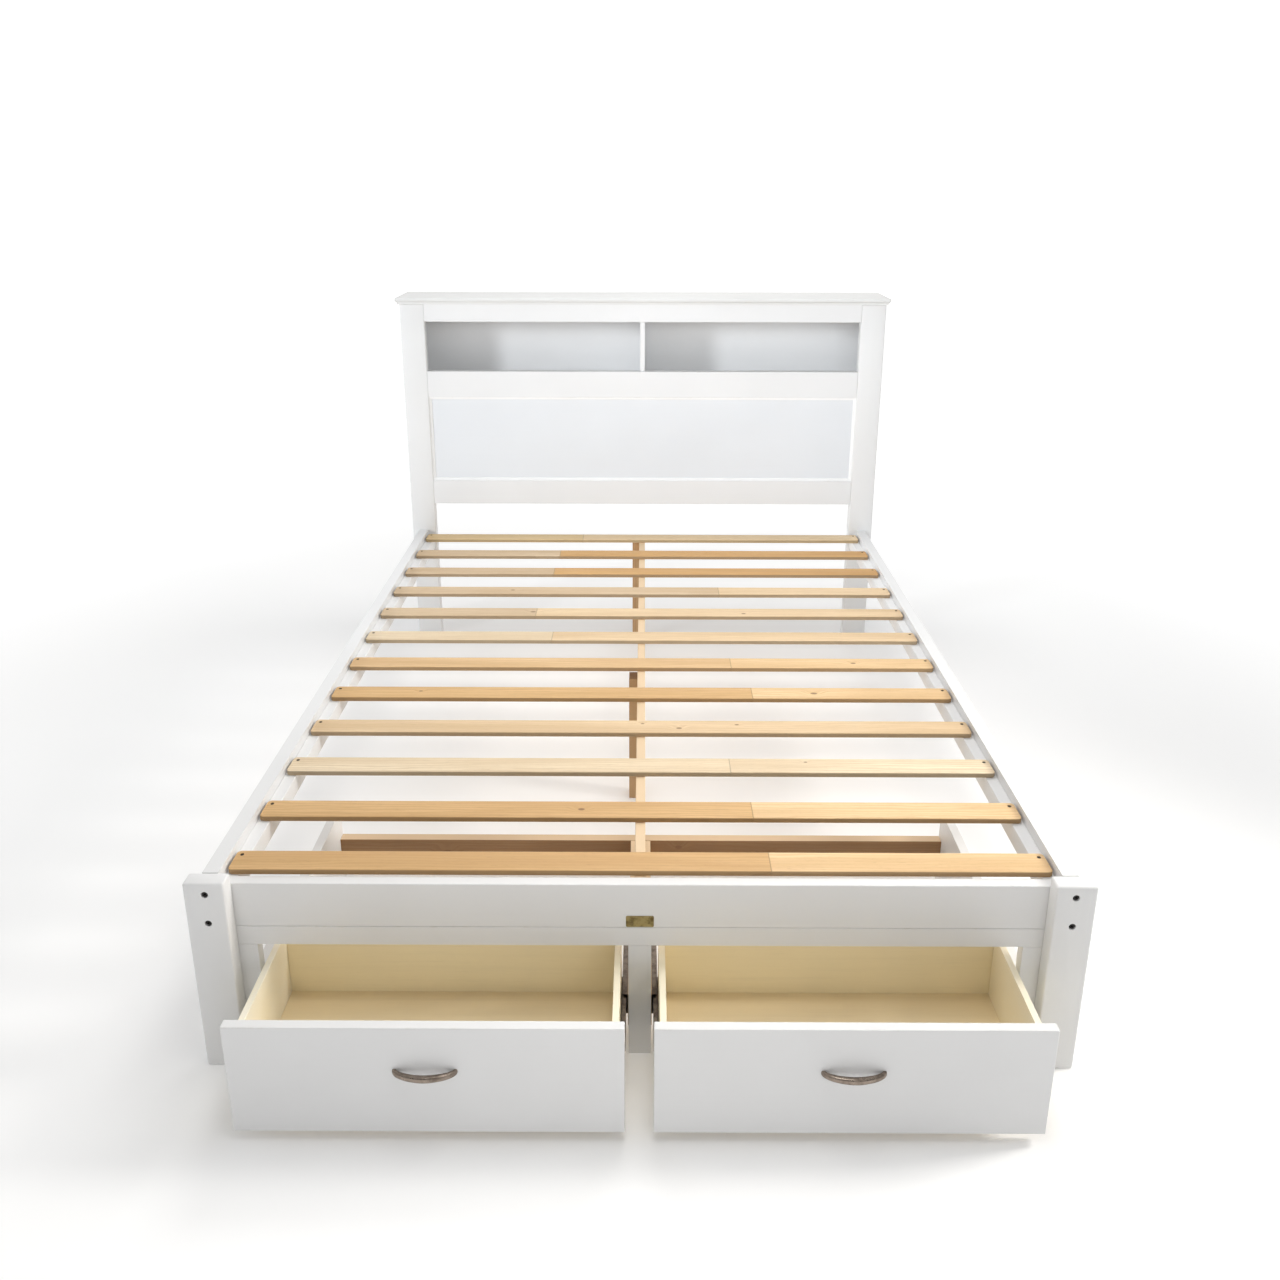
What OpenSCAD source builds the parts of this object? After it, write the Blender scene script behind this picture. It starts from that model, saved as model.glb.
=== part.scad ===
// Queen-size slatted bed frame: bookcase headboard, side rails with slats, and two foot-end
// drawers on telescopic slides. Millimetres, +Z up, head towards +Y.
// The drawers are drawn partly open, which is their rest position.

/* [Overall] */
// Width over the foot posts and the headboard stiles
bed_w = 1650; // [1600:10:1700]
// Clear length from the back of the foot rail to the headboard
clear_l = 2039; // [2000:1:2080]

/* [Foot end] */
// Height of the foot posts and the top of the side rails
post_h = 405; // [380:5:430]
// Width of a foot post
post_w = 75; // [70:1:90]
// Thickness of a foot post, front to back
post_t = 35; // [30:1:45]
// Thickness of the boards in the foot frame
frame_t = 24; // [18:1:30]
// Top of the foot rail
foot_rail_top = 382; // [375:1:400]
// Joint between the foot rail and the drawer header
foot_rail_bottom = 289; // [275:1:300]
// Underside of the drawer header, which is the top of the drawer openings
opening_top = 249; // [245:1:260]
// Width of the stile between the two drawers
centre_stile_w = 43; // [36:1:50]
// Distance from the middle of the bed to the outer edge of a drawer opening
opening_x = 715.5; // [705:0.5:718]

/* [Side rails] */
// Thickness of a side rail
rail_t = 30; // [25:1:35]
// Height of a side rail board
rail_h = 100; // [90:1:120]
// Height of the slat cleats
cleat_h = 39; // [30:1:45]
// Thickness of the slat cleats
cleat_t = 25; // [20:1:30]

/* [Slats] */
// Number of slats
slat_count = 12; // [10:1:12]
// Width of a slat
slat_w = 61; // [50:1:70]
// Thickness of a slat
slat_t = 12; // [10:1:15]
// Top face of the slats
slat_top = 393; // [388:1:396]
// Gap between a slat's end and the side rail
slat_end_gap = 4; // [2:1:8]
// Distance from one slat to the next
slat_pitch = 178.4; // [160:0.1:178.4]
// Gap between the foot rail and the first slat
first_slat_gap = 4; // [2:1:6]

/* [Headboard] */
// Height to the top of the cap
head_h = 1227; // [1200:1:1260]
// Depth of the bookcase behind its front face
head_depth = 188; // [160:1:220]
// Width of a headboard stile
stile_w = 84; // [75:1:95]
// Thickness of the headboard's front frame
head_frame_t = 35; // [30:1:40]
// Top of the cubby openings
cubby_top = 1146; // [1130:1:1160]
// Floor of the cubbies
cubby_floor = 977; // [960:1:990]
// Top of the recessed panel
panel_top = 887; // [860:1:900]
// Bottom of the recessed panel
panel_bottom = 589; // [570:1:600]
// Underside of the bottom rail
head_rail_bottom = 503; // [480:1:520]
// Thickness of the cap
cap_t = 22; // [18:1:26]

/* [Drawers] */
// Height of a drawer front
front_h = 222; // [210:1:224]
// Underside of a drawer front
front_z = 22; // [18:1:30]
// Thickness of a drawer front
front_t = 19; // [16:1:22]
// Gap between a drawer front and its opening at each side
front_gap = 3.5; // [2:0.5:5]
// Depth of the drawer box behind its front
box_d = 273; // [272:1:290]
// Height of the drawer box sides
box_h = 150; // [130:1:150]
// Underside of the drawer box
box_z = 67; // [60:1:75]
// Thickness of the drawer box boards
box_t = 12; // [10:1:15]
// How far the drawers stand open at rest
rest_open = 208; // [150:1:240]

/* [Handles] */
// Length of a handle
handle_l = 113; // [100:1:140]
// How far a handle stands out from the drawer front
handle_out = 24; // [20:1:30]
// Height of a handle's bar
handle_bar_h = 12; // [8:1:14]

/* [Hidden] */
$fn = 48;
half_w = bed_w / 2;
lap = 0.01;

// Places along the bed, measured from the front face of the foot posts
frame_y0 = post_t;
frame_y1 = post_t + frame_t;
head_y = frame_y1 + clear_l;
head_frame_y1 = head_y + head_frame_t;
head_back = head_y + head_depth;
first_slat_y = frame_y1 + first_slat_gap;

// Places across the bed
rail_inset = 24;
rail_x1 = half_w - rail_inset;
rail_x0 = rail_x1 - rail_t;
cleat_x0 = rail_x0 - cleat_t;
rail_z0 = post_h - rail_h;
slat_bottom = slat_top - slat_t;
slat_end_x = rail_x0 - slat_end_gap;
slat_corner_r = 9;

// Bolts that hold the rails to the posts and the stiles
bolt_x = (rail_x0 + rail_x1) / 2;
bolt_z = [321, 382];
bolt_d = 8;
bolt_hole_d = 8.6;
bolt_head_d = 12;
bolt_head_t = 5;
bolt_sink_d = 13;
bolt_sink = 7;
bolt_into_rail = 60;
bolt_hole_into_rail = 64;

// Screws at the slat ends
screw_inset = 12.5;
screw_back = 14;
screw_hole_d = 5;
screw_head_d = 7.4;
screw_sink_d = 8;
screw_sink = 3;
screw_head_t = 2;
screw_shank_d = 4;
screw_l = 32;

// Beam and its legs under the middle of the slats
beam_w = 20;
beam_h = 80;
beam_end_gap = 36;
beam_y1 = head_y - beam_end_gap;
mid_leg_w = 22;
mid_leg_d = 45;
mid_leg_y = 960;
mid_leg_top = 357;
head_leg_x0 = -34;
head_leg_w = 44;
head_leg_t = 22;

// Bay that carries the drawer slides
bay_x0 = 713;
bay_panel_t = 20;
bay_top = 185;
bay_board_top = 118;
bay_board_z0 = 45;
bay_centre_x1 = 23;
bay_centre_t = 16;
bay_rear_y0 = 578;
bay_rear_t = 25;
bay_y1 = bay_rear_y0 + bay_rear_t;

// Telescopic slides: three nested channels on each side of a drawer
slide_t = 12.7;
slide_z = 95;
slide_l = 270;
slide_wall = 1.2;
slide_outer_h = 45;
slide_outer_d = 9.5;
slide_mid_h = 34.4;
slide_mid_x0 = 3;
slide_mid_d = 8;
slide_inner_h = 23.4;
slide_inner_d = 6.7;
slide_clear = 1;
slide_front_y = frame_y1 + slide_clear;

// Drawer places, seen at the right-hand drawer; the left-hand one is its mirror image
front_x0 = centre_stile_w / 2 + front_gap;
front_x1 = opening_x - front_gap;
front_y0 = frame_y0 - rest_open;
box_y0 = front_y0 + front_t;
box_y1 = box_y0 + box_d;
box_x0 = bay_centre_x1 + slide_t;
box_x1 = bay_x0 - slide_t;
bottom_t = 6;
bottom_raise = 9;
bottom_z0 = box_z + bottom_raise;
back_h = 123;
handle_x = (front_x0 + front_x1) / 2;
handle_z = 154;
handle_horn = 10;
handle_bow_t = 10;

// Bookcase places
side_t = 18;
side_x1 = half_w;
stile_x0 = half_w - stile_w;
case_top = head_h - cap_t;
shelf_t = 18;
shelf_z1 = cubby_floor - 28;
back_t = 5;
back_y0 = head_back - back_t;
divider_t = 16;
divider_inset = 8;
panel_inset = 10;
panel_y0 = head_y + panel_inset;
panel_t = 6;
bead_w = 9;
bead_t = 5;
cap_over_x = 10;
cap_over_front = 14;
cap_over_back = 4;
cap_step = 6;
cap_lower_t = 8;

// Blank brass plate on the foot rail
plate_w = 52;
plate_h = 24;
plate_t = 1.2;
plate_gap = 2;

// The origin is on the floor in the middle of the whole bed
mid_y = (head_back + cap_over_back + front_y0 - handle_out) / 2;

slat_names = [for (i = [1:slat_count]) str("slat_", i < 10 ? "0" : "", i)];

paint = "white";
pine = "burlywood";
lining = "wheat";
steel = "dimgray";

// Everything is drawn along the bed from the foot posts, then moved to the origin
module place(s = 1) {
    translate([0, -mid_y, 0]) mirror([s < 0 ? 1 : 0, 0, 0]) children();
}

// Block between two corners
module block(low, high) {
    translate(low) cube(high - low);
}

// Cylinder along +Y
module rod_y(d, l) {
    rotate([-90, 0, 0]) cylinder(d = d, h = l);
}

// ---------- headboard ----------

// Front stile that is also the leg, bored for the two rail bolts
module headboard_stile(s) {
    color(paint) place(s) difference() {
        block([stile_x0, head_y, 0], [half_w, head_frame_y1, case_top]);
        for (z = bolt_z) translate([bolt_x, head_y - lap, z]) {
            rod_y(bolt_hole_d, head_frame_t + 2 * lap);
            translate([0, head_frame_t - bolt_sink + lap, 0]) rod_y(bolt_sink_d, bolt_sink + lap);
        }
    }
}

module headboard_side(s) {
    color(paint) place(s)
        block([side_x1 - side_t, head_frame_y1, 0], [side_x1, head_back, case_top]);
}

// Rail of the headboard's front frame, between the stiles
module head_rail(z0, z1) {
    color(paint) place() block([-stile_x0, head_y, z0], [stile_x0, head_frame_y1, z1]);
}

module headboard_panel() {
    color(paint) place() block([-stile_x0, panel_y0, panel_bottom],
                               [stile_x0, panel_y0 + panel_t, panel_top]);
}

// Bead that frames the recessed panel
module headboard_bead() {
    y0 = panel_y0 - bead_t;
    color(paint) place() difference() {
        block([-stile_x0, y0, panel_bottom], [stile_x0, panel_y0, panel_top]);
        block([-stile_x0 + bead_w, y0 - 1, panel_bottom + bead_w],
              [stile_x0 - bead_w, panel_y0 + 1, panel_top - bead_w]);
    }
}

module headboard_back() {
    x = side_x1 - side_t;
    color(paint) place() block([-x, back_y0, head_rail_bottom], [x, head_back, case_top]);
}

module headboard_shelf() {
    x = side_x1 - side_t;
    color(paint) place()
        block([-x, head_frame_y1, shelf_z1 - shelf_t], [x, back_y0, shelf_z1]);
}

// Divider, notched under the top rail and over the middle rail
module headboard_divider() {
    x = divider_t / 2;
    color(paint) place() {
        block([-x, head_y + divider_inset, cubby_floor], [x, head_frame_y1 + lap, cubby_top]);
        block([-x, head_frame_y1, shelf_z1], [x, back_y0, case_top]);
    }
}

// Cap with a stepped edge at the front and the ends
module headboard_cap() {
    x = half_w + cap_over_x;
    color(paint) place() {
        block([-x + cap_step, head_y - cap_over_front + cap_step, case_top],
              [x - cap_step, head_back + cap_over_back, case_top + cap_lower_t + lap]);
        block([-x, head_y - cap_over_front, case_top + cap_lower_t],
              [x, head_back + cap_over_back, head_h]);
    }
}

// ---------- side rails and slats ----------

// Rail bored at both ends for its bolts
module side_rail(s) {
    color(paint) place(s) difference() {
        block([rail_x0, post_t, rail_z0], [rail_x1, head_y, post_h]);
        for (z = bolt_z, y = [post_t - lap, head_y - bolt_hole_into_rail])
            translate([bolt_x, y, z]) rod_y(bolt_hole_d, bolt_hole_into_rail + lap);
    }
}

// Pair of cleats, one along each side rail
module slat_cleats() {
    color(paint) for (s = [-1, 1]) place(s)
        block([cleat_x0, frame_y1, slat_bottom - cleat_h], [rail_x0, head_y, slat_bottom]);
}

// Plan outline of a slat with rounded corners
module slat_outline() {
    r = slat_corner_r;
    translate([-slat_end_x + r, 0]) square([2 * (slat_end_x - r), slat_w]);
    translate([-slat_end_x, r]) square([2 * slat_end_x, slat_w - 2 * r]);
    for (x = [-1, 1], y = [r, slat_w - r]) translate([x * (slat_end_x - r), y]) circle(r);
}

function slat_y(i) = first_slat_y + i * slat_pitch;

// Slat, counted from the foot end, with a sunk screw hole near each end
module slat(i) {
    color(pine) place() translate([0, slat_y(i), slat_bottom]) difference() {
        linear_extrude(slat_t) slat_outline();
        for (x = [-1, 1]) translate([x * (slat_end_x - screw_inset), slat_w - screw_back, -lap]) {
            cylinder(d = screw_hole_d, h = slat_t + 1);
            translate([0, 0, slat_t - screw_sink]) cylinder(d = screw_sink_d, h = screw_sink + 1);
        }
    }
}

module centre_beam() {
    color(pine) place()
        block([-beam_w / 2, frame_y1, slat_bottom - beam_h], [beam_w / 2, beam_y1, slat_bottom]);
}

module centre_leg_middle() {
    color(pine) place() block([-beam_w / 2 - mid_leg_w, mid_leg_y, 0],
                              [-beam_w / 2, mid_leg_y + mid_leg_d, mid_leg_top]);
}

module centre_leg_head() {
    color(pine) place() block([head_leg_x0, beam_y1, 0],
                              [head_leg_x0 + head_leg_w, beam_y1 + head_leg_t, slat_bottom]);
}

// ---------- foot end ----------

// Post bored for the two rail bolts, whose heads are sunk in its front face
module foot_post(s) {
    color(paint) place(s) difference() {
        block([half_w - post_w, 0, 0], [half_w, post_t, post_h]);
        for (z = bolt_z) translate([bolt_x, -lap, z]) {
            rod_y(bolt_hole_d, post_t + 2 * lap);
            rod_y(bolt_sink_d, bolt_sink + lap);
        }
    }
}

module foot_rail() {
    color(paint) place()
        block([-rail_x0, frame_y0, foot_rail_bottom], [rail_x0, frame_y1, foot_rail_top]);
}

module drawer_header() {
    color(paint) place()
        block([-rail_x0, frame_y0, opening_top], [rail_x0, frame_y1, foot_rail_bottom]);
}

module foot_stile(s) {
    color(paint) place(s) block([opening_x, frame_y0, 0], [rail_x0, frame_y1, opening_top]);
}

module foot_stile_centre() {
    x = centre_stile_w / 2;
    color(paint) place() block([-x, frame_y0, 0], [x, frame_y1, opening_top]);
}

// Blank plate on the foot rail, just above its lower edge
module foot_plate() {
    z = foot_rail_bottom + plate_gap;
    color("darkgoldenrod") place()
        block([-plate_w / 2, frame_y0 - plate_t, z], [plate_w / 2, frame_y0, z + plate_h]);
}

// ---------- drawer bay ----------

module bay_side(s) {
    color(paint) place(s)
        block([bay_x0, frame_y1, 0], [bay_x0 + bay_panel_t, bay_y1, bay_top]);
}

// Pair of boards behind the centre stile, one for each drawer
module bay_centre_boards() {
    color(pine) for (s = [-1, 1]) place(s)
        block([bay_centre_x1 - bay_centre_t, frame_y1, bay_board_z0],
              [bay_centre_x1, bay_rear_y0, bay_board_top]);
}

module bay_rear_board() {
    color(pine) place() block([-bay_x0, bay_rear_y0, bay_board_z0],
                              [bay_x0, bay_y1, bay_board_top]);
}

// ---------- slides ----------

// Channel that opens towards +X, with its web's back at x = 0
module channel(h, d, y0) {
    translate([0, y0, slide_z]) rotate([-90, 0, 0]) linear_extrude(slide_l) difference() {
        translate([0, -h / 2]) square([d, h]);
        translate([slide_wall, -h / 2 + slide_wall]) square([d, h - 2 * slide_wall]);
    }
}

// Puts a slide member at both sides of one drawer, its web's back on the bay
module at_slides(s) {
    place(s) {
        translate([bay_centre_x1, 0, 0]) children();
        translate([bay_x0, 0, 0]) mirror([1, 0, 0]) children();
    }
}

module slide_channels() {
    color(steel) for (s = [-1, 1]) at_slides(s)
        channel(slide_outer_h, slide_outer_d, slide_front_y);
}

module slide_middles(s) {
    color(steel) at_slides(s) translate([slide_mid_x0, 0, 0])
        channel(slide_mid_h, slide_mid_d, slide_front_y - rest_open / 2);
}

module drawer_runners(s) {
    color(steel) at_slides(s) translate([slide_t, 0, 0]) mirror([1, 0, 0])
        channel(slide_inner_h, slide_inner_d, slide_front_y - rest_open);
}

// ---------- drawers ----------

module drawer_front(s) {
    color(paint) place(s)
        block([front_x0, front_y0, front_z], [front_x1, box_y0, front_z + front_h]);
}

module drawer_sides(s) {
    color(paint) place(s) for (x = [box_x0, box_x1 - box_t])
        block([x, box_y0, box_z], [x + box_t, box_y1, box_z + box_h]);
}

module drawer_bottom(s) {
    color(lining) place(s) block([box_x0 + box_t, box_y0, bottom_z0],
                                 [box_x1 - box_t, box_y1, bottom_z0 + bottom_t]);
}

module drawer_back(s) {
    z = bottom_z0 + bottom_t;
    color(lining) place(s)
        block([box_x0 + box_t, box_y1 - box_t, z], [box_x1 - box_t, box_y1, z + back_h]);
}

// Disc whose edge passes through both horns and bulges out by the given amount
module bow_disc(half, out) {
    r = (half * half + out * out) / (2 * out);
    translate([0, r - out]) circle(r, $fn = 96);
}

// Crescent bow whose two horns stand on the drawer front
module drawer_handle(s) {
    half = handle_l / 2;
    color("silver") place(s) translate([handle_x, front_y0, handle_z]) {
        translate([0, 0, -handle_bar_h / 2]) linear_extrude(handle_bar_h) intersection() {
            difference() {
                bow_disc(half, handle_out);
                bow_disc(half - handle_horn, handle_out - handle_bow_t);
            }
            translate([-half, -handle_out - 1]) square([handle_l, handle_out + 1]);
        }
    }
}

// ---------- fasteners ----------

// Bolts through the posts and stiles into the ends of the side rails
module frame_bolts() {
    shank = post_t - bolt_sink + bolt_into_rail;
    color(steel) for (s = [-1, 1], z = bolt_z) place(s) {
        translate([bolt_x, bolt_sink - bolt_head_t, z]) {
            rod_y(bolt_head_d, bolt_head_t);
            translate([0, bolt_head_t - lap, 0]) rod_y(bolt_d, shank);
        }
        translate([bolt_x, head_frame_y1 - bolt_sink, z]) {
            rod_y(bolt_head_d, bolt_head_t);
            translate([0, lap - shank, 0]) rod_y(bolt_d, shank);
        }
    }
}

module slat_screws() {
    head_z = slat_top - screw_sink;
    color(steel) for (s = [-1, 1], i = [0:slat_count - 1]) place(s)
        translate([slat_end_x - screw_inset, slat_y(i) + slat_w - screw_back, head_z]) {
            cylinder(d = screw_head_d, h = screw_head_t);
            translate([0, 0, lap - screw_l]) cylinder(d = screw_shank_d, h = screw_l);
        }
}

headboard_stile(-1);  // headboard_stile_left
headboard_stile(1);  // headboard_stile_right
headboard_side(-1);  // headboard_side_left
headboard_side(1);  // headboard_side_right
head_rail(cubby_top, case_top);  // headboard_top_rail
head_rail(panel_top, cubby_floor);  // headboard_mid_rail
head_rail(head_rail_bottom, panel_bottom);  // headboard_bottom_rail
headboard_panel();
headboard_bead();
headboard_back();
headboard_shelf();
headboard_divider();
headboard_cap();
side_rail(-1);  // side_rail_left
side_rail(1);  // side_rail_right
slat_cleats();
foot_post(-1);  // foot_post_left
foot_post(1);  // foot_post_right
foot_rail();
drawer_header();
foot_stile(-1);  // foot_stile_left
foot_stile(1);  // foot_stile_right
foot_stile_centre();
foot_plate();
for (i = [0:slat_count - 1]) slat(i);
centre_beam();
centre_leg_middle();
centre_leg_head();
bay_side(-1);  // bay_side_left
bay_side(1);  // bay_side_right
bay_centre_boards();
bay_rear_board();
slide_channels();
drawer_front(-1);  // drawer_left_front
drawer_sides(-1);  // drawer_left_sides
drawer_back(-1);  // drawer_left_back
drawer_bottom(-1);  // drawer_left_bottom
drawer_handle(-1);  // drawer_left_handle
drawer_runners(-1);  // drawer_left_runners
slide_middles(-1);  // slide_middles_left
drawer_front(1);  // drawer_right_front
drawer_sides(1);  // drawer_right_sides
drawer_back(1);  // drawer_right_back
drawer_bottom(1);  // drawer_right_bottom
drawer_handle(1);  // drawer_right_handle
drawer_runners(1);  // drawer_right_runners
slide_middles(1);  // slide_middles_right
frame_bolts();
slat_screws();
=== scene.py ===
import math

import bmesh
import bpy
from mathutils import Matrix, Vector


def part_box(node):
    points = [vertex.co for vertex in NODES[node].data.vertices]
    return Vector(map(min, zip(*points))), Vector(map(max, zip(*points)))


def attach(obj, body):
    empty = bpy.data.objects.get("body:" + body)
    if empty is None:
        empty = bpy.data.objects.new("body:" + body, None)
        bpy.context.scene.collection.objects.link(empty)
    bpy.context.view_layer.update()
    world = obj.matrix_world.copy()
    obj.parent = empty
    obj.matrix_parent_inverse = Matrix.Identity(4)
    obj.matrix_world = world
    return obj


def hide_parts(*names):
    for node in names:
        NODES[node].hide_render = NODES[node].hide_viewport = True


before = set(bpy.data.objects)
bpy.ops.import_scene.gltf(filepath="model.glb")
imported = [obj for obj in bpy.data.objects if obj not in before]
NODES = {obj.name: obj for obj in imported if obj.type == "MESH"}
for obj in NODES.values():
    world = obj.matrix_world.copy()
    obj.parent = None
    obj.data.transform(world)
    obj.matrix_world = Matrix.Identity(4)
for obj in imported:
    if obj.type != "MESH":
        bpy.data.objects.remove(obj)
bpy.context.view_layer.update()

X, Y, Z = 0, 1, 2
MM = 0.001

# Camera: the photograph's viewpoint, beyond the foot end and above it; angles in radians
CAMERA_PLACE = (0.0043, -2.7467, 1.6191)
CAMERA_PITCH = math.radians(17.87)
CAMERA_TURN = 0.0031
CAMERA_ROLL = 0.0018
CAMERA_SENSOR = 36.0
CAMERA_LENS = 31.17
CAMERA_SHIFT = -0.0836
CAMERA_REACH = 100.0

# Surroundings: the strength grows towards the bright side, and a band glows along the horizon
WORLD_BRIGHT_SIDE = (0.0, 0.45, 0.89)
WORLD_TURN = (-0.35, 0.9)
WORLD_STRENGTH = (0.0, 0.58)
HORIZON_RISE = (0.2, 0.4)
HORIZON_STRENGTH = (0.78, 0.0)

# Studio floor: a pale plane that glows a little, and more so away from the bed
FLOOR_HALF_SIZE = 30.0
FLOOR_PALE = (0.92, 0.92, 0.92)
FLOOR_GLOW_RADIUS = (0.9, 4.0)
FLOOR_GLOW = (0.10, 0.58)

# Studio lights: name, place, target, size, power in watts, colour, spread in degrees
WARM, NEUTRAL, COOL = (1.0, 0.97, 0.92), (1.0, 0.99, 0.97), (0.90, 0.95, 1.0)
LIGHTS = [
    ("overhead", (0.3, 1.2, 3.4), (0.1, -0.6, 0.3), (1.6, 1.0), 34, NEUTRAL, 180),
    ("above_drawers", (0.1, -1.15, 2.7), (0.05, -1.15, 0.0), (1.8, 0.6), 8, NEUTRAL, 120),
    ("drawer_key", (0.7, -2.8, 1.1), (-0.1, -0.95, 0.15), (0.5, 0.3), 0.12, WARM, 35),
    ("headboard_fill", (0.5, -0.95, 1.5), (0.1, 1.05, 0.95), (1.8, 0.5), 3.7, COOL, 100),
    ("left_window", (-5.0, -2.4, 2.0), (0.15, 1.05, 0.85), (0.8, 1.4), 6.3, COOL, 30),
    ("right_window", (2.5, -0.7, 1.7), (-0.3, -1.0, 0.1), (0.5, 0.7), 9, WARM, 80),
]

# Paint and lacquer, linear
PAINT = (0.80, 0.80, 0.80)
PAINT_DULL = (0.765, 0.762, 0.755)
PAINT_RUBBED = (0.66, 0.63, 0.58)
PANEL_PAINT = (0.765, 0.785, 0.81)
# White paint paled as a painted highlight along the panel's bead
BEAD_PAINT_LIT = (0.90, 0.90, 0.90)
# White paint greyed as painted shade on the headboard cap
CAP_PAINT_SHADED = (0.745, 0.745, 0.735)
# Drawer side paint: its own cream, raised paler as painted light on the drawer sides
CREAM_PAINT_LIT = (0.92, 0.87, 0.73)
# Drawer back lacquer: its own cream, raised paler as painted light on the drawer backs
CREAM_LIT = (0.97, 0.86, 0.60)
CREAM_FLOOR = (0.89, 0.745, 0.485)

# Metals, linear: the clean tone and the tarnished one
NICKEL = (0.31, 0.255, 0.21), (0.19, 0.15, 0.12)
SLIDE_STEEL = (0.21, 0.18, 0.155), (0.10, 0.085, 0.075)
BOLT_STEEL = (0.055, 0.052, 0.05), (0.03, 0.028, 0.027)
SCREW_STEEL = (0.09, 0.08, 0.07), (0.05, 0.045, 0.04)
BRASS = (0.36, 0.29, 0.13), (0.16, 0.12, 0.055)

# Timber, linear
HONEY = (0.66, 0.43, 0.20)
AMBER = (0.635, 0.385, 0.155)
BLOND = (0.79, 0.57, 0.32)
CREAMY = (0.765, 0.59, 0.38)
PALE = (0.79, 0.66, 0.475)
TAN = (0.66, 0.51, 0.34)
STRAW = (0.72, 0.50, 0.27)
SAND = (0.80, 0.62, 0.36)
IVORY = (0.87, 0.70, 0.47)
PINE = (0.77, 0.59, 0.39)
# Pine browned as painted shade, for the legs' faces
PINE_SHADED = (0.50, 0.32, 0.165)
# Pine darkened further as painted shade, for the rear board's front face
PINE_DEEP_SHADE = (0.33, 0.19, 0.09)
KNOT = (0.22, 0.11, 0.05)

# Slats from the foot end: the tones of their glued lengths and the joints between these, along X
SLATS = [
    ((HONEY, BLOND), (0.239,)),
    ((HONEY, BLOND), (0.222,)),
    ((PALE, PALE), (0.190,)),
    ((CREAMY,), ()),
    ((HONEY, BLOND), (0.271,)),
    ((STRAW, BLOND), (0.231,)),
    ((PALE, CREAMY), (-0.254,)),
    ((TAN, CREAMY), (-0.315,)),
    ((TAN, CREAMY), (0.233,)),
    ((TAN, AMBER), (-0.290,)),
    ((TAN, AMBER), (-0.283,)),
    ((SAND, IVORY), (-0.214,)),
]

# Knots: place along the board, place across it and radius, by the slat's index; a slat's places
# across are measured from its front edge
SLAT_KNOTS = {
    1: ((-0.12, 0.030, 4 * MM),),
    2: ((0.362, 0.045, 2.5 * MM),),
    3: ((0.004, 0.044, 2.5 * MM), (0.089, 0.022, 4 * MM), (0.225, 0.040, 3 * MM)),
    4: ((0.43, 0.028, 5 * MM), (-0.55, 0.035, 3 * MM)),
    5: ((0.56, 0.030, 4 * MM),),
    7: ((-0.32, 0.03, 5 * MM), (0.30, 0.02, 4 * MM)),
    8: ((-0.40, 0.032, 4 * MM),),
}
REAR_BOARD_KNOTS = ((-0.46, 0.085, 6 * MM), (0.09, 0.10, 5 * MM), (0.31, 0.07, 7 * MM))

# Pine parts: node, tone, tone of the sides across the thickness; the legs' brown tone and the rear
# board's dark tone are painted shade, and the rear board's paler side tone is painted light on its
# top
PINE_PARTS = [
    ("centre_beam", PINE, PINE),
    ("centre_leg_middle", PINE_SHADED, PINE_SHADED),
    ("centre_leg_head", PINE_SHADED, PINE_SHADED),
    ("bay_centre_boards", PINE, PINE),
    ("bay_rear_board", PINE_DEEP_SHADE, PINE),
]

# Painted boards and the rounding of their edges, in millimetres
PAINTED = {
    "headboard_side_left": 1.5, "headboard_side_right": 1.5, "headboard_top_rail": 1.0,
    "headboard_mid_rail": 1.5, "headboard_bottom_rail": 1.5, "headboard_panel": 0.5,
    "headboard_back": 0.8, "headboard_shelf": 0.8, "headboard_divider": 1.2,
    "side_rail_left": 3.0, "side_rail_right": 3.0, "slat_cleats": 1.5, "foot_rail": 2.2,
    "drawer_header": 1.2, "foot_stile_left": 1.0, "foot_stile_right": 1.0,
    "foot_stile_centre": 1.0, "bay_side_left": 1.2, "bay_side_right": 1.2,
    "drawer_left_front": 1.8, "drawer_right_front": 1.8,
}

# Edge roundings
DRAWER_SIDE_ROUNDING = 0.8 * MM
LINING_ROUNDING = 0.6 * MM
PINE_ROUNDING = 1.5 * MM
SLIDE_ROUNDING = 0.35 * MM
POST_ROUNDING = 4 * MM
SLAT_ROUNDING = 2.6 * MM
SLAT_CORNER = 9 * MM
PLATE_CORNER = 3 * MM
SMOOTH_BELOW = math.radians(38)
ROUND_ABOVE = math.radians(40)

# Fasteners and the holes that they sit in
BOLT_HEAD = 5 * MM
BOLT_SINK_RADIUS = 6.5 * MM
SCREW_HEAD_RADIUS = 3.7 * MM
SCREW_SINK_RADIUS = 4.0 * MM
SCREW_HOLE_RADIUS = 2.5 * MM

# Handle bars: thickness and height at the ends and the middle, and how square the bow is
HANDLE_THICK_END, HANDLE_THICK_MIDDLE = 8 * MM, 11.5 * MM
HANDLE_TALL_END = 9.5 * MM
HANDLE_BOW = 1.75


# ---------- shader nodes ----------

def shade(colour, factor):
    """The colour, darker or paler by a factor."""
    return tuple(c * factor for c in colour)


def stretch(axis, along, across):
    """Frequencies for a grain that runs along one axis."""
    return tuple(along if k == axis else across for k in range(3))


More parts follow.
